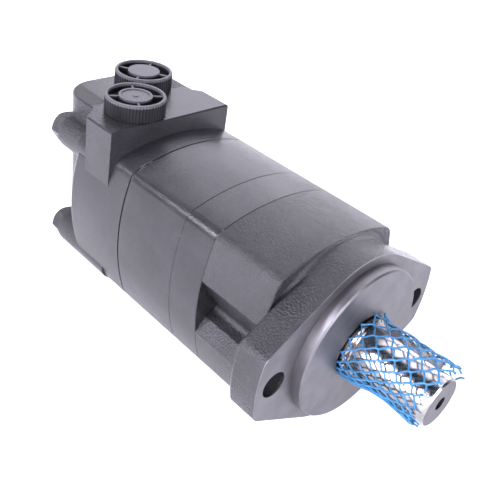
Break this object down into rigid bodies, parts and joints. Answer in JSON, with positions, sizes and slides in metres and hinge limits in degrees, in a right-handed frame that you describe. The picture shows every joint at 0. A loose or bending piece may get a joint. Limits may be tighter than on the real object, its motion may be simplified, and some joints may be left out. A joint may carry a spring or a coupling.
{
  "type": "hydraulic motor",
  "caption": "Low-speed hydraulic geroler motor with a lobed mounting flange, keyed output shaft in a net sleeve and capped ports on a raised pad.",
  "frame": {"origin": "where the output shaft axis meets the flange mounting face", "axes": "+X along the output shaft and out of its free end, +Z towards the port pad, +Y to the side that makes a right-handed frame"},
  "size_m": [0.2573, 0.128, 0.114],
  "materials": {
    "painted_casting": "satin black-grey paint over cast iron, bare machined flange face",
    "painted_steel": "painted over",
    "seal_rubber": "matt",
    "ground_steel": "ground",
    "hardened_steel": "ground",
    "cage_steel": "pressed",
    "cap_plastic": "moulded",
    "net_plastic": "extruded net"
  },
  "bodies": {
    "housing": {"bearing_housing": "painted_casting", "wear_plate": "painted_casting", "geroler_ring": "painted_casting", "valve_plate": "painted_casting", "valve_housing": "painted_casting", "body_bolts": "painted_steel", "body_seal_front": "seal_rubber", "body_seal_wear_plate": "seal_rubber", "body_seal_valve_plate": "seal_rubber", "body_seal_rear": "seal_rubber", "locating_pins": "hardened_steel", "dust_seal": "seal_rubber", "shaft_seal": "seal_rubber", "seal_backup_ring": "hardened_steel", "seal_retaining_ring": "hardened_steel", "front_bearing_cup": "hardened_steel", "rear_bearing_cup": "hardened_steel", "balance_ring": "hardened_steel", "balance_ring_seal": "seal_rubber", "balance_pins": "hardened_steel", "balance_springs": "hardened_steel"},
    "shaft": {"output_shaft": "ground_steel", "shaft_key": "ground_steel", "front_bearing_cone": "hardened_steel", "rear_bearing_cone": "hardened_steel"},
    "front_roller_set": {"front_bearing_rollers": "hardened_steel", "front_bearing_cage": "cage_steel"},
    "rear_roller_set": {"rear_bearing_rollers": "hardened_steel", "rear_bearing_cage": "cage_steel"},
    "orbit": {"drive_spacer": "hardened_steel"},
    "star_body": {"star": "hardened_steel"},
    "link": {"drive_link": "hardened_steel"},
    "valve_link": {"valve_drive": "hardened_steel"},
    "disc": {"disc_valve": "hardened_steel"},
    "cap_near": {"port_cap_near": "cap_plastic", "cap_seal_near": "seal_rubber"},
    "cap_far": {"port_cap_far": "cap_plastic", "cap_seal_far": "seal_rubber"},
    "net": {"shaft_net": "net_plastic"},
    "geroler_roller_1": {"roller_1": "hardened_steel"},
    "geroler_roller_2": {"roller_2": "hardened_steel"},
    "geroler_roller_3": {"roller_3": "hardened_steel"},
    "geroler_roller_4": {"roller_4": "hardened_steel"},
    "geroler_roller_5": {"roller_5": "hardened_steel"},
    "geroler_roller_6": {"roller_6": "hardened_steel"},
    "geroler_roller_7": {"roller_7": "hardened_steel"}
  },
  "joints": [
    {"name": "shaft_spin", "type": "hinge", "parent": "housing", "child": "shaft", "pos_m": [0, 0, 0], "axis": [1, 0, 0], "continuous": true},
    {"name": "front_roller_set_spin", "type": "hinge", "parent": "housing", "child": "front_roller_set", "pos_m": [-0.0216, 0, 0], "axis": [1, 0, 0], "continuous": true},
    {"name": "rear_roller_set_spin", "type": "hinge", "parent": "housing", "child": "rear_roller_set", "pos_m": [-0.0514, 0, 0], "axis": [1, 0, 0], "continuous": true},
    {"name": "star_orbit", "type": "hinge", "parent": "housing", "child": "orbit", "pos_m": [-0.097, 0, 0], "axis": [1, 0, 0], "continuous": true},
    {"name": "star_spin", "type": "hinge", "parent": "orbit", "child": "star_body", "pos_m": [-0.0965, 0.0029, 0], "axis": [1, 0, 0], "continuous": true},
    {"name": "link_spin", "type": "hinge", "parent": "orbit", "child": "link", "pos_m": [-0.04, 0, 0], "axis": [0.9982, -0.0603, 0], "continuous": true},
    {"name": "valve_link_spin", "type": "hinge", "parent": "orbit", "child": "valve_link", "pos_m": [-0.134, 0, 0], "axis": [0.995, 0.0995, 0], "continuous": true},
    {"name": "disc_spin", "type": "hinge", "parent": "housing", "child": "disc", "pos_m": [-0.132, 0, 0], "axis": [1, 0, 0], "continuous": true},
    {"name": "roller_1_spin", "type": "hinge", "parent": "housing", "child": "geroler_roller_1", "pos_m": [-0.0965, 0.0315, 0], "axis": [1, 0, 0], "continuous": true},
    {"name": "roller_2_spin", "type": "hinge", "parent": "housing", "child": "geroler_roller_2", "pos_m": [-0.0965, 0.01964, 0.02463], "axis": [1, 0, 0], "continuous": true},
    {"name": "roller_3_spin", "type": "hinge", "parent": "housing", "child": "geroler_roller_3", "pos_m": [-0.0965, -0.00701, 0.03071], "axis": [1, 0, 0], "continuous": true},
    {"name": "roller_4_spin", "type": "hinge", "parent": "housing", "child": "geroler_roller_4", "pos_m": [-0.0965, -0.02838, 0.01367], "axis": [1, 0, 0], "continuous": true},
    {"name": "roller_5_spin", "type": "hinge", "parent": "housing", "child": "geroler_roller_5", "pos_m": [-0.0965, -0.02838, -0.01367], "axis": [1, 0, 0], "continuous": true},
    {"name": "roller_6_spin", "type": "hinge", "parent": "housing", "child": "geroler_roller_6", "pos_m": [-0.0965, -0.00701, -0.03071], "axis": [1, 0, 0], "continuous": true},
    {"name": "roller_7_spin", "type": "hinge", "parent": "housing", "child": "geroler_roller_7", "pos_m": [-0.0965, 0.01964, -0.02463], "axis": [1, 0, 0], "continuous": true},
    {"name": "cap_near_lift", "type": "slide", "parent": "housing", "child": "cap_near", "axis": [0, 0, 1], "range_m": [0, 0.04]},
    {"name": "cap_far_lift", "type": "slide", "parent": "housing", "child": "cap_far", "axis": [0, 0, 1], "range_m": [0, 0.04]},
    {"name": "net_pull", "type": "slide", "parent": "shaft", "child": "net", "axis": [1, 0, 0], "range_m": [0, 0.06]}
  ],
  "couplings": [
    {"joint": "front_roller_set_spin", "follows": "shaft_spin", "ratio": 0.4498},
    {"joint": "rear_roller_set_spin", "follows": "shaft_spin", "ratio": 0.4498},
    {"joint": "star_orbit", "follows": "shaft_spin", "ratio": -6},
    {"joint": "star_spin", "follows": "shaft_spin", "ratio": 7},
    {"joint": "link_spin", "follows": "shaft_spin", "ratio": 7},
    {"joint": "valve_link_spin", "follows": "shaft_spin", "ratio": 7},
    {"joint": "disc_spin", "follows": "shaft_spin", "ratio": 1},
    {"joint": "roller_1_spin", "follows": "shaft_spin", "ratio": -4.12},
    {"joint": "roller_2_spin", "follows": "shaft_spin", "ratio": -4.12},
    {"joint": "roller_3_spin", "follows": "shaft_spin", "ratio": -4.12},
    {"joint": "roller_4_spin", "follows": "shaft_spin", "ratio": -4.12},
    {"joint": "roller_5_spin", "follows": "shaft_spin", "ratio": -4.12},
    {"joint": "roller_6_spin", "follows": "shaft_spin", "ratio": -4.12},
    {"joint": "roller_7_spin", "follows": "shaft_spin", "ratio": -4.12}
  ]
}
